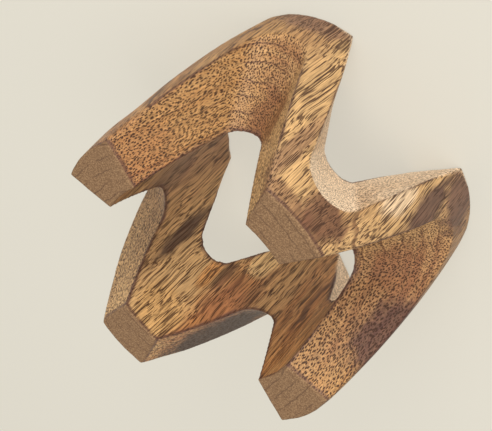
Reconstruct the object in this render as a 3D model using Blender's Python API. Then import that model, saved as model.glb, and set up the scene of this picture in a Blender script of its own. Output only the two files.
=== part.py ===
"""Interlocking wooden ring puzzle: four V-shaped blocks that close into one zigzag crown.

The ring is turned and sawn from one block, so its grain runs along +Z through every piece.
Each block has one upper end and two half feet. Hidden tongues cross the four foot joints, and
the blocks slide outwards together, each away from its neighbours.
"""
import math

import bmesh
import bpy
from mathutils import Matrix, Vector

# ---- driving dimensions, in metres ----
UNIT = 0.035                    # scale of the piece: about the middle radius of the wall
HEIGHT = 1.700 * UNIT           # foot ends to upper ends
HALF_SPAN = 1.205 * UNIT        # middle of a flat side to the axis, at both ends
SIDE_BULGE = 0.042 * UNIT       # extra half span at mid height
FOOT_SQUARENESS = 2.58          # exponent of the rounded-square outline at the feet: 2 is round
TOP_SQUARENESS = 2.05           # and at the upper ends
BORE_R = 0.824 * UNIT           # radius of the through hole
# each notch: half width at its open end, wood left behind its floor, radius of the floor,
# first at the bore, then at the outside
LOW_WIDE = (0.443 * UNIT, 0.592 * UNIT)     # under each upper end, open downwards
LOW_FLOOR = (0.950 * UNIT, 0.300 * UNIT)
LOW_ROUND = (0.180 * UNIT, 0.265 * UNIT)
HIGH_WIDE = (0.452 * UNIT, 0.633 * UNIT)    # over each foot, open upwards
HIGH_FLOOR = (0.924 * UNIT, 0.339 * UNIT)
HIGH_ROUND = (0.175 * UNIT, 0.265 * UNIT)
BACK_SLIMMER = 0.090 * UNIT     # the back block's upper end is cut back this much more on the
                                # side next to the right block, at the outside
SEAM_GAP = 0.0003               # between two blocks at a foot joint
TONGUE_LENGTH = 0.0050          # how far a tongue reaches into the next block
TONGUE_RADIAL = 0.0050          # its thickness across the wall
TONGUE_TALL = 0.0075            # its height
TONGUE_RADIUS = 0.0365          # distance from the axis to its middle
TONGUE_MIDDLE = 0.0088          # height of its middle
TONGUE_ROOT = 0.0015            # how far it is let into its own block
TONGUE_CLEARANCE = 0.0003       # between a tongue and its socket, on every side
OUTLINE_STEPS = 96              # facets round the block
HEIGHT_STEPS = 14               # rings up the outer wall
FLOOR_STEPS = 12                # facets in half a notch floor
SIDE_STEPS = 8                  # facets up a notch's straight side
RADIAL_STEPS = 4                # facets along a notch, from the bore outwards
CUTTER_NEAR = 0.80 * BORE_R     # where a notch cutter starts, inside the bore
CUTTER_FAR = 1.60 * UNIT        # and where it ends, outside the block
OVERSHOOT = 0.004               # how far a cutter runs past the ends

WOOD = (0.42, 0.24, 0.11, 1.0)
BLOCKS = (("block_front", -90.0), ("block_right", 0.0), ("block_back", 90.0), ("block_left", 180.0))


def clear_scene():
    for item in list(bpy.data.objects):
        bpy.data.objects.remove(item, do_unlink=True)


def new_collection(name):
    group = bpy.data.collections.new(name)
    bpy.context.scene.collection.children.link(group)
    return group


def add_mesh_object(name, verts, faces, group):
    mesh = bpy.data.meshes.new(name)
    mesh.from_pydata(verts, [], faces)
    mesh.update()
    item = bpy.data.objects.new(name, mesh)
    group.objects.link(item)
    return item


def as_cutter(item):
    item.hide_render = True
    item.display_type = "WIRE"
    return item


def wood_material(name):
    mat = bpy.data.materials.new(name)
    mat.use_nodes = True
    shader = mat.node_tree.nodes["Principled BSDF"]
    shader.inputs["Base Color"].default_value = WOOD
    shader.inputs["Roughness"].default_value = 0.48
    shader.inputs["Metallic"].default_value = 0.0
    return mat


def half_span(z):
    """Half the distance across the flat sides at height z."""
    along = 2.0 * z / HEIGHT - 1.0
    return HALF_SPAN + SIDE_BULGE * (1.0 - along * along)


def outline_radius(angle, z):
    """Distance from the axis to the outside, in the direction of angle at height z."""
    power = FOOT_SQUARENESS + (TOP_SQUARENESS - FOOT_SQUARENESS) * z / HEIGHT
    spread = abs(math.cos(angle)) ** power + abs(math.sin(angle)) ** power
    return half_span(z) / spread ** (1.0 / power)


def block_mesh(name):
    """The uncut block: rounded-square rings up the outside, one round bore down the middle."""
    verts = []
    heights = [HEIGHT * step / HEIGHT_STEPS for step in range(HEIGHT_STEPS + 1)]
    rings = [(z, False) for z in heights] + [(HEIGHT, True), (0.0, True)]
    for z, is_bore in rings:
        for step in range(OUTLINE_STEPS):
            angle = 2.0 * math.pi * (step + 0.5) / OUTLINE_STEPS
            radius = BORE_R if is_bore else outline_radius(angle, z)
            verts.append((radius * math.cos(angle), radius * math.sin(angle), z))
    faces = []
    count = len(rings)
    for ring in range(count):
        low = ring * OUTLINE_STEPS
        high = ((ring + 1) % count) * OUTLINE_STEPS
        for step in range(OUTLINE_STEPS):
            after = (step + 1) % OUTLINE_STEPS
            faces.append((low + step, low + after, high + after, high + step))
    mesh = bpy.data.meshes.new(name)
    mesh.from_pydata(verts, [], faces)
    mesh.update()
    return mesh


def notch_outline(half_width, floor_depth, floor_round):
    """Half of a rounded V: (sideways, height) from the floor's middle up to the open end.

    The straight side is tangent to the floor's arc and reaches half_width at full height.
    """
    low = math.radians(2.0)
    high = math.radians(88.0)
    for _ in range(60):
        tilt = 0.5 * (low + high)
        apex = floor_depth - floor_round * (1.0 / math.sin(tilt) - 1.0)
        reach = (HEIGHT - apex) * math.tan(tilt)
        if reach < half_width:
            low = tilt
        else:
            high = tilt
    centre = floor_depth + floor_round
    points = []
    for step in range(FLOOR_STEPS + 1):
        turn = (math.pi / 2.0 - tilt) * step / FLOOR_STEPS
        points.append((floor_round * math.sin(turn), centre - floor_round * math.cos(turn)))
    slope = math.tan(tilt)
    last_x, last_z = points[-1]
    top = HEIGHT + OVERSHOOT
    for step in range(1, SIDE_STEPS + 1):
        z = last_z + (top - last_z) * step / SIDE_STEPS
        points.append((last_x + (z - last_z) * slope, z))
    return points


def distance_out(sideways, z, turned):
    """How far out a line parallel to a notch's middle plane meets the outside at height z."""
    low = 0.0
    high = 2.0 * UNIT
    for _ in range(50):
        middle = 0.5 * (low + high)
        angle = math.atan2(sideways, middle) + turned
        if math.hypot(sideways, middle) < outline_radius(angle, z):
            low = middle
        else:
            high = middle
    return low


def notch_cutter(name, azimuth, turned, opens_down, sizes, group, wider=(0.0, 0.0)):
    """A rounded V that runs through the wall along a radius, its floor sloping with the radius.

    turned is the notch's angle from the nearest flat side of the outside. wider is added to its
    half width at the outside, clockwise and anticlockwise of its middle.
    """
    wide, floor, rounding = sizes
    sections = []
    for side in (0, 1):
        before = notch_outline(wide[side] + side * wider[0], floor[side], rounding[side])
        after = notch_outline(wide[side] + side * wider[1], floor[side], rounding[side])
        sections.append([(-x, z) for x, z in reversed(before[1:])] + after)
    verts = []
    for row in range(RADIAL_STEPS + 1):
        distance = CUTTER_NEAR + (CUTTER_FAR - CUTTER_NEAR) * row / RADIAL_STEPS
        for inner, outer in zip(*sections):
            r_in = math.sqrt(BORE_R * BORE_R - inner[0] * inner[0])
            r_out = distance_out(outer[0], min(outer[1], HEIGHT), turned)
            blend = (distance - r_in) / (r_out - r_in)
            x = inner[0] + (outer[0] - inner[0]) * blend
            z = inner[1] + (outer[1] - inner[1]) * blend
            verts.append((distance, x, HEIGHT - z if opens_down else z))
    count = len(sections[0])
    last = RADIAL_STEPS * count
    faces = []
    for row in range(0, last, count):
        for step in range(row, row + count - 1):
            faces.append((step, step + 1, count + step + 1, count + step))
    faces.append(tuple(range(count - 1, -1, -1)))
    faces.append(tuple(range(last, last + count)))
    faces.append(tuple(range(0, last + 1, count)) + tuple(range(last + count - 1, 0, -count)))
    item = add_mesh_object(name, verts, faces, group)
    item.data.transform(Matrix.Rotation(math.radians(azimuth), 4, "Z"))
    fix_normals(item.data)
    return as_cutter(item)


def fix_normals(mesh):
    work = bmesh.new()
    work.from_mesh(mesh)
    bmesh.ops.recalc_face_normals(work, faces=work.faces)
    work.to_mesh(mesh)
    work.free()


def box_cutter(name, centre, size, azimuth, group):
    work = bmesh.new()
    bmesh.ops.create_cube(work, size=1.0)
    bmesh.ops.scale(work, vec=Vector(size), verts=work.verts)
    bmesh.ops.translate(work, vec=Vector(centre), verts=work.verts)
    mesh = bpy.data.meshes.new(name)
    work.to_mesh(mesh)
    work.free()
    mesh.transform(Matrix.Rotation(math.radians(azimuth), 4, "Z"))
    item = bpy.data.objects.new(name, mesh)
    group.objects.link(item)
    return as_cutter(item)


def wedge_cutter(name, azimuth, group):
    """A quarter of the ring's space, half a seam gap inside both joint planes."""
    apex = SEAM_GAP / math.sqrt(2.0)
    far = 2.0 * UNIT
    low = -OVERSHOOT
    high = HEIGHT + OVERSHOOT
    plan = [(apex, 0.0), (far, apex - far), (far, far - apex)]
    verts = [(x, y, low) for x, y in plan] + [(x, y, high) for x, y in plan]
    faces = [(2, 1, 0), (3, 4, 5), (0, 1, 4, 3), (1, 2, 5, 4), (2, 0, 3, 5)]
    item = add_mesh_object(name, verts, faces, group)
    item.data.transform(Matrix.Rotation(math.radians(azimuth), 4, "Z"))
    return as_cutter(item)


def add_boolean(item, name, operation, cutter):
    mod = item.modifiers.new(name, "BOOLEAN")
    mod.operation = operation
    mod.solver = "EXACT"
    mod.object = cutter


def build():
    clear_scene()
    parts = new_collection("zigzag_ring_puzzle")
    cutters = new_collection("cutters")
    low_sizes = (LOW_WIDE, LOW_FLOOR, LOW_ROUND)
    high_sizes = (HIGH_WIDE, HIGH_FLOOR, HIGH_ROUND)
    low_notches = []
    high_notches = []
    for step, (name, azimuth) in enumerate(BLOCKS):
        low = notch_cutter("notch_low_%d" % step, azimuth, 0.0, True, low_sizes, cutters)
        wider = (0.0, BACK_SLIMMER) if name == "block_right" else (0.0, 0.0)
        high = notch_cutter("notch_high_%d" % step, azimuth + 45.0, math.pi / 4.0, False,
                            high_sizes, cutters, wider)
        low_notches.append(low)
        high_notches.append(high)

    for step, (name, azimuth) in enumerate(BLOCKS):
        block = bpy.data.objects.new(name, block_mesh(name))
        parts.objects.link(block)
        wedge = wedge_cutter(name + "_wedge", azimuth, cutters)
        add_boolean(block, "cut_apart", "INTERSECT", wedge)
        add_boolean(block, "notch_below_end", "DIFFERENCE", low_notches[step])
        add_boolean(block, "notch_over_foot", "DIFFERENCE", high_notches[step])
        add_boolean(block, "notch_over_other_foot", "DIFFERENCE", high_notches[step - 1])
        # the joint at +45 degrees from the block carries its tongue, the one at -45 its socket
        size = (TONGUE_RADIAL, TONGUE_LENGTH + TONGUE_ROOT, TONGUE_TALL)
        centre = (TONGUE_RADIUS, 0.5 * (TONGUE_LENGTH - TONGUE_ROOT), TONGUE_MIDDLE)
        tongue = box_cutter(name + "_tongue", centre, size, azimuth + 45.0, cutters)
        add_boolean(block, "tongue", "UNION", tongue)
        deep = TONGUE_LENGTH + TONGUE_CLEARANCE
        size = (TONGUE_RADIAL + 2.0 * TONGUE_CLEARANCE, deep + TONGUE_ROOT,
                TONGUE_TALL + 2.0 * TONGUE_CLEARANCE)
        centre = (TONGUE_RADIUS, 0.5 * (deep - TONGUE_ROOT), TONGUE_MIDDLE)
        socket = box_cutter(name + "_socket", centre, size, azimuth - 45.0, cutters)
        add_boolean(block, "socket", "DIFFERENCE", socket)
        block.data.materials.append(wood_material("wood_" + name))


build()
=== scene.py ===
"""Interlocking wooden ring puzzle: four carved V-shaped blocks that close into one zigzag ring.

Every length is in metres. The grain of the wood runs along Z through all four blocks, so the
material reads Object coordinates and carries on across each hairline joint.
"""
import math

import bmesh
import bpy
import numpy as np
from mathutils import Matrix, Vector, kdtree


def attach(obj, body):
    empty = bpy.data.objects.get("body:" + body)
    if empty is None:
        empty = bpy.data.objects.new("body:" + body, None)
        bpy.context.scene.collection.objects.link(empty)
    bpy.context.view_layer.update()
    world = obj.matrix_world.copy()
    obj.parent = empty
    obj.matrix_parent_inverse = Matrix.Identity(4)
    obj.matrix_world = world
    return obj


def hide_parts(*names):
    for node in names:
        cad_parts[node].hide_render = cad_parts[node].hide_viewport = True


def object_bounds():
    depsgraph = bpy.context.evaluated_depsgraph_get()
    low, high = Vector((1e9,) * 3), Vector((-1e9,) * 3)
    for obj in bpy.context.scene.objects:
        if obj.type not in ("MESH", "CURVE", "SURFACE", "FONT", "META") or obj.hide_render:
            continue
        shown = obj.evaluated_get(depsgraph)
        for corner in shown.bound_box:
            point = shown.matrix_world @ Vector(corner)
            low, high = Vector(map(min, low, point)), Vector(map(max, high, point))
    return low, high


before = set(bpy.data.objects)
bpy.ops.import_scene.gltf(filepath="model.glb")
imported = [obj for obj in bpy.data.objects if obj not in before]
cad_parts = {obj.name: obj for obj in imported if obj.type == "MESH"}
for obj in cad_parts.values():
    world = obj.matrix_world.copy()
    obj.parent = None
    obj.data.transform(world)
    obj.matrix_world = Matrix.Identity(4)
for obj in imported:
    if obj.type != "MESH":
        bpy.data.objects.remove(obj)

bl_info = {
    "name": "Wooden Ring Puzzle",
    "version": (1, 0, 0),
    "blender": (4, 5, 0),
    "location": "3D View > Sidebar > Ring Puzzle",
    "description": "Carves the four interlocking blocks of a wooden ring puzzle and lights them",
    "category": "Object",
}

CAD_LOW, CAD_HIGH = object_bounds()
MM = 0.001
UNIT = 0.035                        # the ring's proportions are given in shares of this length
RING_HEIGHT = CAD_HIGH[2] - CAD_LOW[2]
HEIGHT_MM = RING_HEIGHT / MM
BLOCK_TURNS = (("block_front", 0.0), ("block_right", 90.0), ("block_back", 180.0),
               ("block_left", 270.0))
FRONT = -math.pi / 2.0              # direction of the front block's middle
TO_JOINT = math.pi / 4.0            # from a block's middle round to its joint plane

SECTOR_HALF = math.radians(62.0)    # the uncut sector reaches past both joint planes
SECTOR_COLUMNS = 150
SECTOR_ROWS = 48
TILT_LIMITS = (math.radians(2.0), math.radians(88.0))
TILT_HALVINGS = 60
REACH_HALVINGS = 40
REACH_LIMIT = 2.0 * UNIT
FLOOR_STEPS = 28
SIDE_STEPS = 30
RADIAL_STEPS = 16
SAW_START = 0.80                    # share of the bore radius at the notch's middle
SAW_STOP = 1.62 * UNIT
SAW_OVERSHOOT = 4.0 * MM
GRID_FILL = 0.9
SMOOTH_FACTOR = 0.5
CORNER_FADE_START = 0.6             # shares of the height, counted towards the sanded end
CORNER_FADE_LENGTH = 0.3
CORNER_WEIGHT = 0.5
CUT_TOLERANCE = 1e-7
TONGUE_ROOT = 1.5 * MM
FULL_EDGE_PERCENTILE = 97.0
SHARP_ANGLE = math.radians(40.0)


# ---- shape of one block ----

def half_span(shape, z):
    along = 2.0 * z / RING_HEIGHT - 1.0
    return shape.half_span + shape.side_bulge * (1.0 - along * along)


def outline_radius(shape, angle, z):
    foot, top = shape.squareness
    power = foot + (top - foot) * z / RING_HEIGHT
    spread = abs(math.cos(angle)) ** power + abs(math.sin(angle)) ** power
    return half_span(shape, z) / spread ** (1.0 / power)


def uncut_sector(shape):
    """A sector of the uncut block, a little wider than the front quarter, as a closed bmesh."""
    angles = [FRONT + SECTOR_HALF * (2.0 * i / SECTOR_COLUMNS - 1.0)
              for i in range(SECTOR_COLUMNS + 1)]
    heights = [RING_HEIGHT * row / SECTOR_ROWS for row in range(SECTOR_ROWS + 1)]
    rings = [[(outline_radius(shape, angle, z), z) for angle in angles] for z in heights]
    for z in (RING_HEIGHT, 0.0):
        rings.append([(shape.bore_radius, z)] * len(angles))
    work = bmesh.new()
    grid = []
    for ring in rings:
        grid.append([work.verts.new((radius * math.cos(angle), radius * math.sin(angle), z))
                     for angle, (radius, z) in zip(angles, ring)])
    for low in range(len(grid)):
        high = (low + 1) % len(grid)
        for i in range(SECTOR_COLUMNS):
            work.faces.new((grid[low][i], grid[low][i + 1], grid[high][i + 1], grid[high][i]))
    work.faces.new([row[0] for row in reversed(grid)])
    work.faces.new([row[-1] for row in grid])
    bmesh.ops.recalc_face_normals(work, faces=work.faces)
    return work


def notch_outline(half_width, floor, rounding, top):
    """Half of a rounded V as (sideways, height), from the middle of its floor to its open end."""
    low, high = TILT_LIMITS
    for _ in range(TILT_HALVINGS):
        tilt = 0.5 * (low + high)
        apex = floor - rounding * (1.0 / math.sin(tilt) - 1.0)
        if (RING_HEIGHT - apex) * math.tan(tilt) < half_width:
            low = tilt
        else:
            high = tilt
    points = []
    for step in range(FLOOR_STEPS + 1):
        turn = (math.pi / 2.0 - tilt) * step / FLOOR_STEPS
        points.append((rounding * math.sin(turn), floor + rounding * (1.0 - math.cos(turn))))
    last_x, last_z = points[-1]
    for step in range(1, SIDE_STEPS + 1):
        z = last_z + (top - last_z) * step / SIDE_STEPS
        points.append((last_x + (z - last_z) * math.tan(tilt), z))
    return points


def distance_out(shape, sideways, z, turned):
    """How far out along the notch the uncut block ends, at this place beside its middle."""
    low = 0.0
    high = REACH_LIMIT
    for _ in range(REACH_HALVINGS):
        middle = 0.5 * (low + high)
        angle = math.atan2(sideways, middle) + turned
        if math.hypot(sideways, middle) < outline_radius(shape, angle, z):
            low = middle
        else:
            high = middle
    return low


def notch_rails(shape, wide, floor, rounding, turned, wider=(0.0, 0.0)):
    """Pairs of points, at the bore and at the outside, that a notch's walls run straight through.

    wider is added to the half width at the outside, clockwise and anticlockwise of the middle.
    """
    top = RING_HEIGHT + SAW_OVERSHOOT
    sections = []
    for side in (0, 1):
        before = notch_outline(wide[side] + side * wider[0], floor[side], rounding[side], top)
        after = notch_outline(wide[side] + side * wider[1], floor[side], rounding[side], top)
        sections.append([(-x, z) for x, z in reversed(before[1:])] + after)
    rails = []
    for inner, outer in zip(*sections):
        near = math.sqrt(shape.bore_radius ** 2 - inner[0] ** 2)
        far = distance_out(shape, outer[0], min(outer[1], RING_HEIGHT), turned)
        rails.append(((near, inner[0], inner[1]), (far, outer[0], outer[1])))
    return rails


def notch_solid(name, rails, turn, opens_down):
    """The closed solid that is sawn away for one notch."""
    start = SAW_START * rails[len(rails) // 2][0][0]
    rows = []
    work = bmesh.new()
    for step in range(RADIAL_STEPS + 1):
        distance = start + (SAW_STOP - start) * step / RADIAL_STEPS
        row = []
        for inner, outer in rails:
            blend = (distance - inner[0]) / (outer[0] - inner[0])
            x = inner[1] + (outer[1] - inner[1]) * blend
            z = inner[2] + (outer[2] - inner[2]) * blend
            row.append(work.verts.new((distance, x, RING_HEIGHT - z if opens_down else z)))
        rows.append(row)
    for low, high in zip(rows[:-1], rows[1:]):
        for i in range(len(rails) - 1):
            work.faces.new((low[i], low[i + 1], high[i + 1], high[i]))
    work.faces.new(rows[0])
    work.faces.new(rows[-1])
    work.faces.new([row[0] for row in rows] + [row[-1] for row in reversed(rows)])
    bmesh.ops.recalc_face_normals(work, faces=work.faces)
    bmesh.ops.rotate(work, matrix=Matrix.Rotation(turn, 3, "Z"), verts=work.verts)
    return linked_object(name, work)


def linked_object(name, work):
    mesh = bpy.data.meshes.new(name)
    work.to_mesh(mesh)
    work.free()
    item = bpy.data.objects.new(name, mesh)
    bpy.context.scene.collection.objects.link(item)
    return item


def box_solid(name, centre, size, turn):
    work = bmesh.new()
    bmesh.ops.create_cube(work, size=1.0)
    bmesh.ops.scale(work, vec=Vector(size), verts=work.verts)
    bmesh.ops.translate(work, vec=Vector(centre), verts=work.verts)
    bmesh.ops.rotate(work, matrix=Matrix.Rotation(turn, 3, "Z"), verts=work.verts)
    return linked_object(name, work)


def boolean(item, operation, tool):
    mod = item.modifiers.new(operation.lower(), "BOOLEAN")
    mod.operation = operation
    mod.solver = "EXACT"
    mod.object = tool


def bake(item):
    """The item's mesh with all its modifiers applied; the item itself is removed."""
    graph = bpy.context.evaluated_depsgraph_get()
    mesh = bpy.data.meshes.new_from_object(item.evaluated_get(graph))
    bpy.data.objects.remove(item, do_unlink=True)
    return mesh


def edge_ends(mesh):
    """The two vertex numbers of every edge, and how many edges meet at each vertex."""
    count = len(mesh.vertices)
    ends = np.empty(len(mesh.edges) * 2, dtype=np.int32)
    mesh.edges.foreach_get("vertices", ends)
    first, second = ends.reshape(-1, 2).T
    degree = np.bincount(first, minlength=count) + np.bincount(second, minlength=count)
    return first, second, np.maximum(degree, 1)


def neighbour_total(values, first, second):
    """For each vertex, the sum of its neighbours' values."""
    count = len(values)
    return np.bincount(first, values[second], count) + np.bincount(second, values[first], count)


def round_corners(mesh, shape):
    """Sands the upright corners of the front block's upper end and feet rounder."""
    span = shape.half_span
    bore = shape.bore_radius
    corners = (
        (TO_JOINT - math.asin(shape.high_wide[1] / span), span, True),
        (math.asin(shape.low_wide[1] / span), span, False),
        (math.asin(shape.low_wide[0] / bore), bore, False),
    )
    count = len(mesh.vertices)
    place = np.empty(count * 3, dtype=np.float32)
    mesh.vertices.foreach_get("co", place)
    place = place.reshape(-1, 3).astype(np.float64)
    weight = np.zeros(count)
    for turn, radius, at_top in corners:
        height = place[:, 2] if at_top else RING_HEIGHT - place[:, 2]
        near_end = np.clip((height - CORNER_FADE_START * RING_HEIGHT)
                           / (CORNER_FADE_LENGTH * RING_HEIGHT), 0.0, 1.0)
        for side in (-1.0, 1.0):
            angle = FRONT + side * turn
            corner = radius * np.array((math.cos(angle), math.sin(angle)))
            away = np.linalg.norm(place[:, :2] - corner, axis=1)
            here = np.clip(1.0 - away / shape.corner_reach, 0.0, CORNER_WEIGHT) * near_end
            weight = np.maximum(weight, here)
    first, second, degree = edge_ends(mesh)
    for _ in range(shape.corner_sanding):
        for axis in range(2):
            column = place[:, axis]
            total = neighbour_total(column, first, second)
            place[:, axis] = column + weight * (total / degree - column)
    mesh.vertices.foreach_set("co", place.astype(np.float32).ravel())
    mesh.update()


def split_at_joints(mesh, gap):
    """Keeps the quarter between the two joint planes, less half the gap on each side."""
    work = bmesh.new()
    work.from_mesh(mesh)
    for side in (-1.0, 1.0):
        angle = FRONT + side * TO_JOINT
        normal = Vector((-math.sin(angle) * side, math.cos(angle) * side, 0.0))
        geometry = work.verts[:] + work.edges[:] + work.faces[:]
        cut = bmesh.ops.bisect_plane(work, geom=geometry, plane_co=normal * (-0.5 * gap),
                                     plane_no=normal, clear_outer=True, dist=CUT_TOLERANCE)
        rim = [item for item in cut["geom_cut"] if isinstance(item, bmesh.types.BMEdge)]
        bmesh.ops.triangle_fill(work, edges=rim, use_beauty=True)
    bmesh.ops.recalc_face_normals(work, faces=work.faces)
    work.to_mesh(mesh)
    work.free()
    return mesh


def sawn_block(shape, slimmer):
    """The block with its notches cut and its edges sanded, before it is parted at the joints."""
    blank = linked_object("blank", uncut_sector(shape))
    low = notch_rails(shape, shape.low_wide, shape.low_floor, shape.low_round, 0.0)
    tools = [notch_solid("saw_low", low, FRONT, True)]
    for side, wider in ((-1.0, (0.0, slimmer)), (1.0, (0.0, 0.0))):
        high = notch_rails(shape, shape.high_wide, shape.high_floor, shape.high_round,
                           TO_JOINT, wider)
        tools.append(notch_solid("saw_high", high, FRONT + side * TO_JOINT, False))
    for tool in tools:
        boolean(blank, "DIFFERENCE", tool)
    remesh = blank.modifiers.new("sanding_grid", "REMESH")
    remesh.mode = "SHARP"
    remesh.octree_depth = shape.grid_depth
    remesh.scale = GRID_FILL
    remesh.use_remove_disconnected = False
    smooth = blank.modifiers.new("sanding", "SMOOTH")
    smooth.factor = SMOOTH_FACTOR
    smooth.iterations = shape.sanding
    mesh = bake(blank)
    for tool in tools:
        bpy.data.objects.remove(tool, do_unlink=True)
    round_corners(mesh, shape)
    return mesh


def carved_block(shape, slimmer=0.0):
    """One block, in the front block's place; slimmer cuts one side of its upper end back."""
    mesh = sawn_block(shape, slimmer)
    near = edge_closeness(mesh, shape.edge_spread)
    crease = edge_closeness(mesh, shape.crease_spread)
    whole = mesh.copy()
    mesh = split_at_joints(mesh, shape.joint_gap)
    block = bpy.data.objects.new("carved", mesh)
    bpy.context.scene.collection.objects.link(block)
    size = Vector(shape.tongue)
    slack = shape.tongue_slack
    tongue = box_solid(
        "tongue",
        (shape.tongue_radius, 0.5 * (size.y - TONGUE_ROOT), shape.tongue_height),
        (size.x, size.y + TONGUE_ROOT, size.z),
        FRONT + TO_JOINT)
    socket = box_solid(
        "socket",
        (shape.tongue_radius, 0.5 * (size.y + slack - TONGUE_ROOT), shape.tongue_height),
        (size.x + 2.0 * slack, size.y + slack + TONGUE_ROOT, size.z + 2.0 * slack),
        FRONT - TO_JOINT)
    boolean(block, "UNION", tongue)
    boolean(block, "DIFFERENCE", socket)
    mesh = bake(block)
    for tool in (tongue, socket):
        bpy.data.objects.remove(tool, do_unlink=True)
    carry_values(whole, near, mesh, "edge_near")
    carry_values(whole, crease, mesh, "edge_crease")
    bpy.data.meshes.remove(whole)
    return mesh


def edge_closeness(mesh, spread):
    """How near each vertex lies to a carved edge, 0 to 1, from how fast the surface turns."""
    count = len(mesh.vertices)
    normals = np.empty(count * 3, dtype=np.float32)
    mesh.vertex_normals.foreach_get("vector", normals)
    normals = normals.reshape(-1, 3)
    first, second, degree = edge_ends(mesh)
    turn = 1.0 - np.einsum("ij,ij->i", normals[first], normals[second])
    value = np.bincount(first, turn, count) + np.bincount(second, turn, count)
    value /= degree
    for _ in range(spread):
        value = 0.5 * value + 0.5 * neighbour_total(value, first, second) / degree
    return np.clip(value / np.percentile(value, FULL_EDGE_PERCENTILE), 0.0, 1.0)


def carry_values(source, values, target, name):
    """Gives each vertex of target the value of the nearest vertex of source."""
    tree = kdtree.KDTree(len(source.vertices))
    for vertex in source.vertices:
        tree.insert(vertex.co, vertex.index)
    tree.balance()
    found = [values[tree.find(vertex.co)[1]] for vertex in target.vertices]
    target.attributes.new(name, "FLOAT", "POINT").data.foreach_set("value", found)


def turning_tree(name):
    """Geometry Nodes: turns the carved block about the ring's axis and gives it its wood."""
    tree = bpy.data.node_groups.new(name, "GeometryNodeTree")
    face = tree.interface
    face.new_socket("Geometry", in_out="INPUT", socket_type="NodeSocketGeometry")
    turn = face.new_socket("Turn", in_out="INPUT", socket_type="NodeSocketFloat")
    turn.description = "Angle about the ring's axis, in degrees"
    wood = face.new_socket("Wood", in_out="INPUT", socket_type="NodeSocketMaterial")
    face.new_socket("Geometry", in_out="OUTPUT", socket_type="NodeSocketGeometry")
    nodes = tree.nodes
    link = tree.links.new
    start = nodes.new("NodeGroupInput")
    end = nodes.new("NodeGroupOutput")
    radians = nodes.new("ShaderNodeMath")
    radians.operation = "RADIANS"
    spin = nodes.new("ShaderNodeCombineXYZ")
    move = nodes.new("GeometryNodeTransform")
    real = nodes.new("GeometryNodeRealizeInstances")
    paint = nodes.new("GeometryNodeSetMaterial")
    link(start.outputs["Turn"], radians.inputs[0])
    link(radians.outputs[0], spin.inputs["Z"])
    link(start.outputs["Geometry"], move.inputs["Geometry"])
    link(spin.outputs[0], move.inputs["Rotation"])
    link(move.outputs[0], real.inputs[0])
    link(real.outputs[0], paint.inputs["Geometry"])
    link(start.outputs["Wood"], paint.inputs["Material"])
    link(paint.outputs[0], end.inputs[0])
    return tree, turn.identifier, wood.identifier


# ---- wood ----

class NodeBench:
    """Short calls for wiring a shader tree."""

    def __init__(self, tree):
        self.tree = tree

    def put(self, kind, **settings):
        node = self.tree.nodes.new(kind)
        for key, value in settings.items():
            setattr(node, key, value)
        return node

    def feed(self, socket, value):
        if isinstance(value, bpy.types.NodeSocket):
            self.tree.links.new(value, socket)
        elif value is not None:
            socket.default_value = value

    def math(self, operation, first, second=None, third=None, clamp=False):
        node = self.put("ShaderNodeMath", operation=operation, use_clamp=clamp)
        self.feed(node.inputs[0], first)
        self.feed(node.inputs[1], second)
        self.feed(node.inputs[2], third)
        return node.outputs[0]

    def vector(self, operation, first, second=None, scale=None):
        node = self.put("ShaderNodeVectorMath", operation=operation)
        self.feed(node.inputs[0], first)
        self.feed(node.inputs[1], second)
        self.feed(node.inputs[3], scale)
        return node.outputs[1 if operation == "LENGTH" else 0]

    def split(self, vector):
        node = self.put("ShaderNodeSeparateXYZ")
        self.feed(node.inputs[0], vector)
        return node.outputs

    def noise(self, vector, detail=2.0, roughness=0.5, scale=1.0, output="Fac"):
        node = self.put("ShaderNodeTexNoise")
        self.feed(node.inputs["Vector"], vector)
        node.inputs["Scale"].default_value = scale
        node.inputs["Detail"].default_value = detail
        node.inputs["Roughness"].default_value = roughness
        return node.outputs[output]

    def attribute(self, name):
        node = self.put("ShaderNodeAttribute", attribute_type="GEOMETRY", attribute_name=name)
        return node.outputs["Fac"]

    def stretched(self, vector, pitch, detail=2.0, roughness=0.5):
        """Noise with its own pitch across and along the grain, per mm."""
        return self.noise(self.vector("MULTIPLY", vector, pitch), detail, roughness)

    def step(self, value, low, high, out_low=0.0, out_high=1.0):
        node = self.put("ShaderNodeMapRange", interpolation_type="SMOOTHSTEP")
        self.feed(node.inputs["Value"], value)
        node.inputs["From Min"].default_value = low
        node.inputs["From Max"].default_value = high
        node.inputs["To Min"].default_value = out_low
        node.inputs["To Max"].default_value = out_high
        return node.outputs[0]

    def mix(self, amount, first, second, blend="MIX"):
        node = self.put("ShaderNodeMix", data_type="RGBA", blend_type=blend)
        self.feed(node.inputs[0], amount)
        self.feed(node.inputs[6], first)
        self.feed(node.inputs[7], second)
        return node.outputs[2]

    def ramp(self, value, stops):
        node = self.put("ShaderNodeValToRGB")
        self.feed(node.inputs[0], value)
        ramp = node.color_ramp
        while len(ramp.elements) > 1:
            ramp.elements.remove(ramp.elements[-1])
        ramp.elements[0].position = stops[0][0]
        ramp.elements[0].color = linear(*stops[0][1])
        for position, colour in stops[1:]:
            ramp.elements.new(position).color = linear(*colour)
        return node.outputs[0]

    def grey(self, value):
        node = self.put("ShaderNodeCombineColor")
        for name in ("Red", "Green", "Blue"):
            self.feed(node.inputs[name], value)
        return node.outputs[0]


def linear(red, green, blue):
    """An 8-bit display colour as the linear colour a shader wants."""
    out = []
    for value in (red, green, blue):
        part = value / 255.0
        out.append(part / 12.92 if part <= 0.04045 else ((part + 0.055) / 1.055) ** 2.4)
    return (*out, 1.0)


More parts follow.
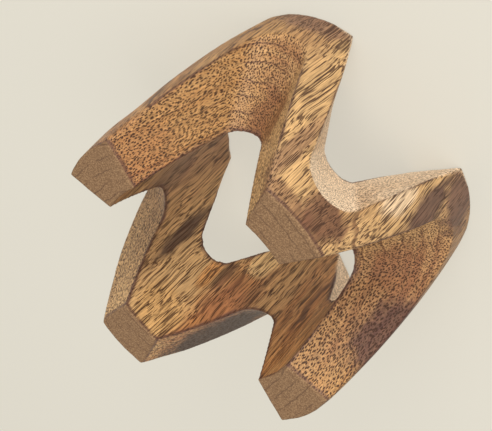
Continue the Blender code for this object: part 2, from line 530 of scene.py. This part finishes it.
# (centre in mm, radii in mm, colour, amount): darker heartwood and paler sapwood patches, and one
# patch of painted shade (the last)
STAINS_AND_PAINTED_SHADE = (
    ((-3.5, -42.0, 53.0), (7.0, 8.0, 8.0), (96, 58, 42), 0.85),
    ((5.0, -42.0, 57.5), (9.0, 6.0, 3.5), (112, 72, 52), 0.60),
    ((-13.0, -42.0, 29.0), (5.0, 6.0, 8.0), (222, 194, 160), 0.70),
    ((-21.5, -40.5, 21.0), (3.6, 7.0, 11.0), (86, 58, 50), 0.90),
    ((-28.0, -37.0, 7.0), (9.0, 8.0, 9.0), (92, 60, 52), 0.85),
    ((31.0, -36.0, 2.0), (12.0, 12.0, 6.0), (118, 84, 68), 0.70),
    ((12.0, -40.0, 44.0), (2.5, 5.0, 16.0), (118, 80, 62), 0.60),
    ((20.0, -27.0, 29.0), (6.0, 7.0, 12.0), (122, 76, 46), 0.65),
    ((31.0, -9.0, 54.0), (12.0, 12.0, 10.0), (140, 92, 56), 0.40),
    ((-40.0, -17.0, 38.0), (8.0, 10.0, 14.0), (82, 52, 46), 0.85),
    ((-30.0, -22.0, 25.0), (8.0, 7.0, 8.0), (134, 84, 54), 0.55),
    ((9.5, 28.0, 30.0), (2.6, 4.0, 15.0), (80, 58, 46), 0.90),
    ((-4.0, 29.0, 30.5), (2.0, 4.0, 8.0), (196, 136, 76), 0.80),
    ((-7.2, 28.6, 29.0), (1.8, 4.0, 7.0), (78, 52, 36), 0.80),
    ((-12.5, 26.0, 15.0), (4.0, 4.0, 8.0), (214, 176, 122), 0.90),
    ((-1.0, 29.0, 51.0), (7.0, 4.0, 9.0), (200, 154, 96), 0.70),
    ((-12.0, 26.5, 36.0), (6.0, 5.0, 10.0), (152, 98, 64), 0.55),
    ((24.0, 17.0, 34.0), (4.0, 5.0, 16.0), (112, 84, 62), 0.60),
    # painted shade: a near-black patch on the back-left high notch wall, where that wall lies in
    # shadow
    ((-18.0, 36.0, 36.0), (10.0, 10.0, 26.0), (46, 31, 23), 0.90),
)


# colours of the bare wood, of what darkens it, and of the painted light on downward faces, as
# 8-bit display values
GOLD = (196, 156, 106)
TAN = (172, 131, 86)
BROWN = (150, 106, 68)
UMBER = (132, 92, 64)
SAND = (164, 120, 72)
ORANGE = (170, 114, 66)
AMBER = (184, 128, 76)
PALE_BAND = (200, 158, 104)
LATE_WOOD = (88, 50, 30)
PAINTED_UNDERSIDE_LIGHT = (240, 212, 180)
HANDLED_EDGE = (110, 76, 66)
CREASE_LINE = (84, 54, 44)
PORE = (60, 33, 17)
VESSEL = (70, 40, 22)
END_RIM = (88, 56, 44)
SAWN_DARK = (122, 90, 60)
SAWN_LIGHT = (156, 122, 86)
SAWN_PORE = (92, 64, 42)
SAWN_LATE_WOOD = (90, 62, 42)

# share of a turn about the axis, from the left block's middle on to the front, right and back
ROUND_THE_AXIS = (
    (0.000, AMBER), (0.040, SAND), (0.070, BROWN), (0.110, BROWN), (0.150, TAN),
    (0.190, GOLD), (0.225, TAN), (0.250, GOLD), (0.330, GOLD), (0.360, BROWN),
    (0.395, SAND), (0.430, SAND), (0.470, ORANGE), (0.550, TAN), (0.600, UMBER),
    (0.660, TAN), (0.720, GOLD), (0.775, GOLD), (0.800, ORANGE), (0.840, BROWN),
    (0.880, TAN), (0.930, ORANGE), (0.965, AMBER), (1.000, AMBER))

# pitch of each noise, per mm, across the grain twice and then along it
WANDER_PITCH = (0.05, 0.05, 0.04)
BLOTCH_PITCH = (0.14, 0.14, 0.035)
RING_WOBBLE_PITCH = (0.16, 0.16, 0.03)
RAGGED_PITCH = (0.35, 0.35, 0.12)
FIBRE_PITCH = (4.6, 4.6, 0.20)
STREAK_PITCH = (1.3, 1.3, 0.05)
PORE_WIDTH_PITCH = 0.9
VESSEL_PITCH = (1.6, 1.6, 0.035)
SPECK_PITCH = 2.6

BLOTCH_SHIFT = 0.10                 # share of a turn
BAND_PITCH = 0.55                   # per mm outwards from the pith
RING_PITCH = 0.31
RING_WOBBLE = 2.4                   # in mm
RELIEF_DEPTH = 0.2 * MM


def straying_grain(bench, look, in_mm):
    """Places in mm, with the fibres wandering a little as they climb."""
    drift = bench.noise(bench.vector("MULTIPLY", in_mm, WANDER_PITCH), 2.0, 0.45, output="Color")
    drift = bench.vector("SUBTRACT", drift, (0.5, 0.5, 0.5))
    drift = bench.vector("MULTIPLY", drift, (look.wander, look.wander, 0.0))
    return bench.vector("ADD", in_mm, drift)


def broad_colour(bench, in_mm, grain):
    """Colour by direction round the axis, because streaks run along the grain."""
    parts = bench.split(grain)
    angle = bench.math("ARCTAN2", parts[1], parts[0])
    turn = bench.math("MULTIPLY_ADD", angle, 0.5 / math.pi, 0.5)
    blotch = bench.stretched(in_mm, BLOTCH_PITCH, 3.0, 0.55)
    turn = bench.math("MULTIPLY_ADD", blotch, BLOTCH_SHIFT, turn)
    turn = bench.math("SUBTRACT", turn, 0.5 * BLOTCH_SHIFT)
    return bench.ramp(bench.math("FRACT", turn), ROUND_THE_AXIS)


def growth_rings(bench, look, in_mm, grain, colour):
    """Bands and dark late wood round a pith that sits a little off the axis."""
    off_pith = bench.vector("SUBTRACT", grain, (look.pith[0], look.pith[1], 0.0))
    radius = bench.vector("LENGTH", bench.vector("MULTIPLY", off_pith, (1.0, 1.0, 0.0)))
    wobble = bench.stretched(in_mm, RING_WOBBLE_PITCH)
    radius = bench.math("MULTIPLY_ADD", wobble, RING_WOBBLE, radius)
    bands = bench.put("ShaderNodeTexNoise", noise_dimensions="1D")
    bench.feed(bands.inputs["W"], bench.math("MULTIPLY", radius, BAND_PITCH))
    bands.inputs["Scale"].default_value = 1.0
    bands.inputs["Detail"].default_value = 2.5
    band = bench.step(bands.outputs["Fac"], 0.38, 0.62)
    colour = bench.mix(bench.math("MULTIPLY", band, 0.30), colour, linear(*PALE_BAND))
    saw = bench.math("FRACT", bench.math("MULTIPLY", radius, RING_PITCH))
    late = bench.math("MULTIPLY", bench.step(saw, 0.84, 0.95), bench.step(saw, 1.0, 0.98))
    late = bench.math("MULTIPLY", late, bench.step(wobble, 0.38, 0.55))
    colour = bench.mix(bench.math("MULTIPLY", late, 0.72), colour, linear(*LATE_WOOD))
    return colour, late


def lay_stains_and_painted_shade(bench, in_mm, ragged, colour):
    """Lays each stain, and the one patch of painted shade, as a blob with a ragged border."""
    for centre, radii, tint, amount in STAINS_AND_PAINTED_SHADE:
        away = bench.vector("DIVIDE", bench.vector("SUBTRACT", in_mm, centre), radii)
        far = bench.math("MULTIPLY_ADD", ragged, 1.1, bench.vector("LENGTH", away))
        cover = bench.step(far, 1.75, 1.15, 0.0, amount)
        colour = bench.mix(cover, colour, linear(*tint))
    return colour


def fine_fibre(bench, grain, end_grain, colour):
    """Fine light and dark fibres, harsher on end grain than on long grain."""
    fibre = bench.stretched(grain, FIBRE_PITCH, 3.0, 0.65)
    streak = bench.stretched(grain, STREAK_PITCH)
    soft = bench.step(fibre, 0.32, 0.68, 0.82, 1.24)
    harsh = bench.step(fibre, 0.32, 0.68, 0.66, 1.40)
    mottle = bench.math("MULTIPLY_ADD", bench.math("SUBTRACT", harsh, soft), end_grain, soft)
    shade = bench.math("MULTIPLY", mottle, bench.step(streak, 0.30, 0.70, 0.90, 1.22))
    return bench.mix(1.0, colour, bench.grey(shade), "MULTIPLY"), fibre


def darkened_edges(bench, look, ragged, colour):
    """Edges are darkened by handling, and finish gathers in a line along each."""
    near = bench.attribute("edge_near")
    patchy = bench.step(ragged, 0.35, 0.62)
    tint = bench.math("MULTIPLY", bench.step(near, 0.20, 0.85), patchy)
    tint = bench.math("MULTIPLY", tint, look.edge_stain)
    colour = bench.mix(tint, colour, linear(*HANDLED_EDGE))
    crease = bench.attribute("edge_crease")
    line = bench.math("MULTIPLY", bench.step(crease, 0.35, 0.85),
                      bench.step(ragged, 0.25, 0.50, 0.35, 1.0))
    line = bench.math("MULTIPLY", line, look.crease_stain)
    return bench.mix(line, colour, linear(*CREASE_LINE))


def open_pores(bench, look, grain, end_grain, under, colour):
    """Long tubes along the grain, so dots on end grain and dashes on long grain."""
    cells = bench.put("ShaderNodeTexVoronoi", voronoi_dimensions="2D", feature="F1")
    bench.feed(cells.inputs["Vector"],
               bench.vector("MULTIPLY", grain, (look.pore_pitch, look.pore_pitch, 0.0)))
    cells.inputs["Scale"].default_value = 1.0
    cells.inputs["Randomness"].default_value = 0.9
    width = bench.stretched(grain, (PORE_WIDTH_PITCH, PORE_WIDTH_PITCH, look.pore_stretch))
    edge = bench.step(width, 0.24, 0.55, 0.13, look.pore_size)
    edge = bench.math("MULTIPLY", edge, bench.math("MULTIPLY_ADD", end_grain, 0.32, 0.68))
    depth = bench.math("SUBTRACT", edge, cells.outputs["Distance"])
    pore = bench.step(depth, -0.05, 0.05)
    strength = bench.math("MULTIPLY_ADD", end_grain, 0.05, look.pore_dark - 0.05)
    # pores are drawn fainter on downward faces, along with the painted light there
    strength = bench.math("MULTIPLY", strength, bench.math("MULTIPLY_ADD", under, -0.40, 1.0))
    colour = bench.mix(bench.math("MULTIPLY", pore, strength), colour, linear(*PORE))

    # hair-thin vessel lines, on the long grain only
    hair = bench.stretched(grain, VESSEL_PITCH, 1.0)
    hair = bench.math("ABSOLUTE", bench.math("SUBTRACT", hair, 0.5))
    hair = bench.math("MULTIPLY", bench.step(hair, 0.060, 0.020),
                      bench.math("MULTIPLY_ADD", end_grain, -look.hair_dark, look.hair_dark))
    hair = bench.math("MULTIPLY", hair, bench.step(width, 0.34, 0.50))
    return bench.mix(hair, colour, linear(*VESSEL)), pore


def end_rims(bench, z, ragged, colour):
    """Finish gathers in a dark rim just below each sawn end."""
    rim = bench.step(z, HEIGHT_MM - 1.50, HEIGHT_MM - 0.80)
    rim = bench.math("MULTIPLY", rim, bench.step(ragged, 0.30, 0.55, 0.30, 0.75))
    return bench.mix(rim, colour, linear(*END_RIM))


def sawn_faces(bench, in_mm, z, pore, late, colour):
    """The upper ends and the foot faces are duller than the oiled sides."""
    top = bench.step(z, HEIGHT_MM - 0.55, HEIGHT_MM - 0.25)
    foot = bench.step(z, 0.55, 0.25)
    sawn = bench.math("MAXIMUM", top, foot)
    speck = bench.noise(in_mm, 2.0, 0.6, SPECK_PITCH)
    dull = bench.mix(bench.step(speck, 0.35, 0.65), linear(*SAWN_DARK), linear(*SAWN_LIGHT))
    dull = bench.mix(bench.math("MULTIPLY", pore, 0.35), dull, linear(*SAWN_PORE))
    dull = bench.mix(bench.math("MULTIPLY", late, 0.70), dull, linear(*SAWN_LATE_WOOD))
    return bench.mix(sawn, colour, dull), sawn


def wood_shader(bench, look, colour, fibre, pore, sawn):
    """Oiled sides with a soft gloss, rougher in the pores and on the sawn faces."""
    shader = bench.put("ShaderNodeBsdfPrincipled")
    bench.feed(shader.inputs["Base Color"], colour)
    rough = bench.math("MULTIPLY_ADD", fibre, 0.22, look.roughness - 0.11)
    rough = bench.math("MULTIPLY_ADD", pore, 0.15, rough)
    rough = bench.math("MULTIPLY_ADD", sawn, 0.25, rough, clamp=True)
    bench.feed(shader.inputs["Roughness"], rough)
    shader.inputs["Specular IOR Level"].default_value = 0.38
    height = bench.math("MULTIPLY_ADD", pore, -1.0, bench.math("MULTIPLY", fibre, 0.35))
    bump = bench.put("ShaderNodeBump")
    bump.inputs["Strength"].default_value = look.bump
    bump.inputs["Distance"].default_value = RELIEF_DEPTH
    bench.feed(bump.inputs["Height"], height)
    bench.feed(shader.inputs["Normal"], bump.outputs[0])
    out = bench.put("ShaderNodeOutputMaterial")
    bench.feed(out.inputs["Surface"], shader.outputs[0])


def wood_material(look, name):
    """Oiled, open-pored wood that runs on from block to block."""
    mat = bpy.data.materials.new(name)
    mat.use_nodes = True
    mat.node_tree.nodes.clear()
    bench = NodeBench(mat.node_tree)
    coords = bench.put("ShaderNodeTexCoord")
    in_mm = bench.vector("SCALE", coords.outputs["Object"], scale=1.0 / MM)
    z = bench.split(in_mm)[2]
    lean = bench.split(coords.outputs["Normal"])[2]
    end_grain = bench.step(bench.math("ABSOLUTE", lean), 0.10, 0.40)
    # under marks the downward faces, which get painted light further down
    under = bench.step(lean, -0.10, -0.45)
    ragged = bench.stretched(in_mm, RAGGED_PITCH, 4.0, 0.6)
    grain = straying_grain(bench, look, in_mm)

    colour = broad_colour(bench, in_mm, grain)
    colour, late = growth_rings(bench, look, in_mm, grain, colour)
    colour = lay_stains_and_painted_shade(bench, in_mm, ragged, colour)
    # painted light: downward faces are lightened to a pale tan, standing in for light that the
    # lamps above cannot give them
    colour = bench.mix(bench.math("MULTIPLY", under, 0.90), colour, linear(*PAINTED_UNDERSIDE_LIGHT))
    colour, fibre = fine_fibre(bench, grain, end_grain, colour)
    colour = darkened_edges(bench, look, ragged, colour)
    colour, pore = open_pores(bench, look, grain, end_grain, under, colour)
    colour = end_rims(bench, z, ragged, colour)
    colour, sawn = sawn_faces(bench, in_mm, z, pore, late, colour)
    wood_shader(bench, look, colour, fibre, pore, sawn)
    return mat


# ---- stage ----

# (name, place, size of the square lamp)
LAMPS = (("key", (0.62, -0.92, 0.42), 0.55), ("overhead", (-0.06, -0.38, 0.56), 0.45))
FLOOR_RADIUS = 3.0
SKY_COLOUR = (1.0, 0.99, 0.97, 1.0)
SENSOR_WIDTH = 36.0                 # in mm
# the camera's turn, as an axis times an angle, and its shift in units, in the ring's own frame
CAMERA_TURN = (0.8289, 0.2880, 0.8530)
CAMERA_SHIFT = (-0.3434, 0.4963, 8.7086)


# ---- add-on ----

class RingShape(bpy.types.PropertyGroup):
    """Sizes of the ring, which every block shares."""
    half_span: bpy.props.FloatProperty(
        name="Half span", description="Axis to the middle of a flat side", default=1.205 * UNIT,
        unit="LENGTH", precision=5)
    side_bulge: bpy.props.FloatProperty(
        name="Side bulge", description="Extra half span at mid height", default=0.042 * UNIT,
        unit="LENGTH", precision=5)
    squareness: bpy.props.FloatVectorProperty(
        name="Squareness", description="At the feet and at the upper ends; 2 is round, more is "
        "squarer", size=2, default=(2.58, 2.05), min=2.0, max=8.0)
    bore_radius: bpy.props.FloatProperty(
        name="Bore radius", description="Radius of the through hole", default=0.824 * UNIT,
        unit="LENGTH", precision=5)
    low_wide: bpy.props.FloatVectorProperty(
        name="Low notch width", description="Half width at the open end, at bore and outside",
        size=2, default=(0.443 * UNIT, 0.592 * UNIT), unit="LENGTH", precision=5)
    low_floor: bpy.props.FloatVectorProperty(
        name="Low notch floor", description="Wood left over the notch, at bore and outside",
        size=2, default=(0.950 * UNIT, 0.300 * UNIT), unit="LENGTH", precision=5)
    low_round: bpy.props.FloatVectorProperty(
        name="Low notch radius", description="Radius of the notch floor, at bore and outside",
        size=2, default=(0.180 * UNIT, 0.265 * UNIT), unit="LENGTH", precision=5)
    high_wide: bpy.props.FloatVectorProperty(
        name="High notch width", description="Half width at the open end, at bore and outside",
        size=2, default=(0.452 * UNIT, 0.633 * UNIT), unit="LENGTH", precision=5)
    high_floor: bpy.props.FloatVectorProperty(
        name="High notch floor", description="Wood left below the notch, at bore and outside",
        size=2, default=(0.924 * UNIT, 0.339 * UNIT), unit="LENGTH", precision=5)
    high_round: bpy.props.FloatVectorProperty(
        name="High notch radius", description="Radius of the notch floor, at bore and outside",
        size=2, default=(0.175 * UNIT, 0.265 * UNIT), unit="LENGTH", precision=5)
    back_slimmer: bpy.props.FloatProperty(
        name="Back end slimmer", description="Cut off one side of the back block's upper end",
        default=0.090 * UNIT, unit="LENGTH", precision=5)
    tongue: bpy.props.FloatVectorProperty(
        name="Tongue", description="Thickness, reach and height of the hidden tongue",
        size=3, default=(5.0 * MM, 5.0 * MM, 7.5 * MM), unit="LENGTH", precision=5)
    tongue_radius: bpy.props.FloatProperty(
        name="Tongue radius", description="Axis to the tongue's middle", default=36.5 * MM,
        unit="LENGTH", precision=5)
    tongue_height: bpy.props.FloatProperty(
        name="Tongue height", description="Feet to the tongue's middle", default=8.8 * MM,
        unit="LENGTH", precision=5)
    tongue_slack: bpy.props.FloatProperty(
        name="Tongue slack", description="Clearance round the tongue", default=0.3 * MM,
        unit="LENGTH", precision=5)
    joint_gap: bpy.props.FloatProperty(
        name="Joint gap", description="Hairline between two blocks", default=0.03 * MM,
        unit="LENGTH", precision=6)
    grid_depth: bpy.props.IntProperty(
        name="Sanding grid", description="Halvings of the box that the carved surface is cut into",
        default=8, min=5, max=9)
    edge_spread: bpy.props.IntProperty(
        name="Edge spread", description="How far edge staining reaches, in grid steps", default=26)
    crease_spread: bpy.props.IntProperty(
        name="Crease spread", description="Half width of the dark crease lines, in grid steps",
        default=3)
    sanding: bpy.props.IntProperty(
        name="Sanding", description="How far the edges are sanded round", default=12, min=0)
    corner_reach: bpy.props.FloatProperty(
        name="Corner reach", description="How far round a corner the extra sanding goes",
        default=6.0 * MM, unit="LENGTH", precision=5)
    corner_sanding: bpy.props.IntProperty(
        name="Corner sanding", description="How far the upright corners are sanded round",
        default=60, min=0)


class WoodLook(bpy.types.PropertyGroup):
    """Looks of the oiled open-pored wood."""
    wander: bpy.props.FloatProperty(
        name="Wander", description="How far the fibres stray sideways, in mm", default=4.2)
    pith: bpy.props.FloatVectorProperty(
        name="Pith", description="Centre of the growth rings, in mm", size=2, default=(3.0, 6.0))
    pore_pitch: bpy.props.FloatProperty(
        name="Pore pitch", description="Pores per mm across the grain", default=2.15)
    pore_stretch: bpy.props.FloatProperty(
        name="Pore stretch", description="How fast the pores change along the grain, per mm",
        default=0.13)
    pore_size: bpy.props.FloatProperty(
        name="Pore size", description="Largest pore radius as a share of its cell", default=0.345)
    pore_dark: bpy.props.FloatProperty(
        name="Pore darkness", description="How dark the pores are", default=0.94, max=1.0)
    hair_dark: bpy.props.FloatProperty(
        name="Vessel lines", description="How dark the thin lines on the long grain are",
        default=0.85, max=1.0)
    roughness: bpy.props.FloatProperty(
        name="Roughness", description="Roughness of the oiled sides", default=0.46, max=1.0)
    edge_stain: bpy.props.FloatProperty(
        name="Edge stain", description="How dark the carved edges are", default=0.70, max=1.0)
    crease_stain: bpy.props.FloatProperty(
        name="Crease stain", description="How dark the lines along the creases are", default=0.75,
        max=1.0)
    bump: bpy.props.FloatProperty(
        name="Pore relief", description="Strength of the pore relief", default=0.5, max=1.0)


class StageLook(bpy.types.PropertyGroup):
    """Floor, lights and camera."""
    floor: bpy.props.FloatVectorProperty(
        name="Floor", description="Colour of the floor", size=4, subtype="COLOR",
        default=linear(225, 220, 206))
    glow: bpy.props.FloatProperty(
        name="Floor glow", description="Share of the floor's brightness that comes from below",
        default=0.65, max=1.0)
    key: bpy.props.FloatProperty(
        name="Key light", description="Power of the key light", default=5.6, unit="POWER")
    fill: bpy.props.FloatProperty(
        name="Fill light", description="Power of the overhead light", default=2.0, unit="POWER")
    sky: bpy.props.FloatProperty(
        name="Sky", description="Strength of the even light from all round", default=0.66)
    lens: bpy.props.FloatProperty(
        name="Lens", description="Focal length on a 36 mm frame, in mm", default=91.3)


class PUZZLE_OT_blocks(bpy.types.Operator):
    """Carves the four blocks and puts each on its body"""
    bl_idname = "puzzle.blocks"
    bl_label = "Carve the four blocks"

    def execute(self, context):
        shape = context.scene.ring_shape
        wood = wood_material(context.scene.wood_look, "oiled_open_pored_wood")
        plain = carved_block(shape)
        slim = carved_block(shape, shape.back_slimmer)
        tree, turn_id, wood_id = turning_tree("turned_block")
        for node, turn in BLOCK_TURNS:
            carrier = bpy.data.objects.new("carrier", slim if node == "block_back" else plain)
            context.scene.collection.objects.link(carrier)
            mod = carrier.modifiers.new("turned_block", "NODES")
            mod.node_group = tree
            mod[turn_id] = turn
            mod[wood_id] = wood
            mesh = bake(carrier)
            mesh.shade_smooth()
            mesh.set_sharp_from_angle(angle=SHARP_ANGLE)
            piece = bpy.data.objects.new("carved_" + node, mesh)
            context.scene.collection.objects.link(piece)
            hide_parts(node)
            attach(piece, node)
        return {"FINISHED"}


class PUZZLE_OT_stage(bpy.types.Operator):
    """Lays the floor, hangs the lights and sets the camera"""
    bl_idname = "puzzle.stage"
    bl_label = "Set the stage"

    def execute(self, context):
        look = context.scene.stage_look
        scene = context.scene
        scene.view_settings.view_transform = "Standard"
        scene.view_settings.look = "None"
        work = bmesh.new()
        bmesh.ops.create_circle(work, cap_ends=True, segments=96, radius=FLOOR_RADIUS)
        floor = linked_object("floor", work)
        mat = bpy.data.materials.new("pale_floor")
        mat.use_nodes = True
        shader = mat.node_tree.nodes["Principled BSDF"]
        lit = 1.0 - look.glow
        shader.inputs["Base Color"].default_value = [lit * part for part in look.floor[:3]] + [1.0]
        shader.inputs["Roughness"].default_value = 0.9
        shader.inputs["Specular IOR Level"].default_value = 0.0
        shader.inputs["Emission Color"].default_value = look.floor
        shader.inputs["Emission Strength"].default_value = look.glow
        floor.data.materials.append(mat)

        world = bpy.data.worlds.new("even_light")
        world.use_nodes = True
        sky = world.node_tree.nodes["Background"]
        sky.inputs["Color"].default_value = SKY_COLOUR
        sky.inputs["Strength"].default_value = look.sky
        scene.world = world
        target = Vector((0.0, 0.0, 0.5 * RING_HEIGHT))
        for (name, place, size), power in zip(LAMPS, (look.key, look.fill)):
            light = bpy.data.lights.new(name, "AREA")
            light.size = size
            light.energy = power
            lamp = bpy.data.objects.new(name, light)
            lamp.location = place
            lamp.rotation_euler = (target - Vector(place)).to_track_quat("-Z", "Y").to_euler()
            scene.collection.objects.link(lamp)

        camera = bpy.data.cameras.new("camera")
        camera.sensor_width = SENSOR_WIDTH
        camera.sensor_fit = "HORIZONTAL"
        camera.lens = look.lens
        camera.clip_start = 0.01
        eye = bpy.data.objects.new("camera", camera)
        eye.matrix_world = camera_pose()
        scene.collection.objects.link(eye)
        scene.camera = eye
        return {"FINISHED"}


def camera_pose():
    """The viewing direction: from in front and above, rolled far over."""
    turn = Vector(CAMERA_TURN)
    shift = Vector(CAMERA_SHIFT)
    view = Matrix.Rotation(turn.length, 3, turn)
    flip = Matrix(((-1.0, 0.0, 0.0), (0.0, 1.0, 0.0), (0.0, 0.0, -1.0)))
    place = flip @ (view.transposed() @ (-shift)) * UNIT
    place.z += RING_HEIGHT
    right = flip @ view[0]
    up = flip @ (-view[1])
    back = flip @ (-view[2])
    pose = Matrix((right, up, back)).transposed().to_4x4()
    pose.translation = place
    return pose


class PUZZLE_PT_panel(bpy.types.Panel):
    """Lists the sizes, the looks and the steps"""
    bl_label = "Ring Puzzle"
    bl_idname = "PUZZLE_PT_panel"
    bl_space_type = "VIEW_3D"
    bl_region_type = "UI"
    bl_category = "Ring Puzzle"

    def draw(self, context):
        layout = self.layout
        for group in (context.scene.ring_shape, context.scene.wood_look,
                      context.scene.stage_look):
            box = layout.box()
            for key in group.__annotations__:
                box.prop(group, key)
        for operator in OPERATORS:
            layout.operator(operator.bl_idname)


OPERATORS = (PUZZLE_OT_blocks, PUZZLE_OT_stage)
GROUPS = (("ring_shape", RingShape), ("wood_look", WoodLook), ("stage_look", StageLook))


def register():
    for name, group in GROUPS:
        bpy.utils.register_class(group)
        setattr(bpy.types.Scene, name, bpy.props.PointerProperty(type=group))
    for item in (*OPERATORS, PUZZLE_PT_panel):
        bpy.utils.register_class(item)


def unregister():
    for item in (PUZZLE_PT_panel, *reversed(OPERATORS)):
        bpy.utils.unregister_class(item)
    for name, group in reversed(GROUPS):
        delattr(bpy.types.Scene, name)
        bpy.utils.unregister_class(group)


def main():
    """Builds the puzzle and its stage."""
    register()
    bpy.ops.puzzle.blocks()
    bpy.ops.puzzle.stage()


if __name__ == "__main__":
    main()
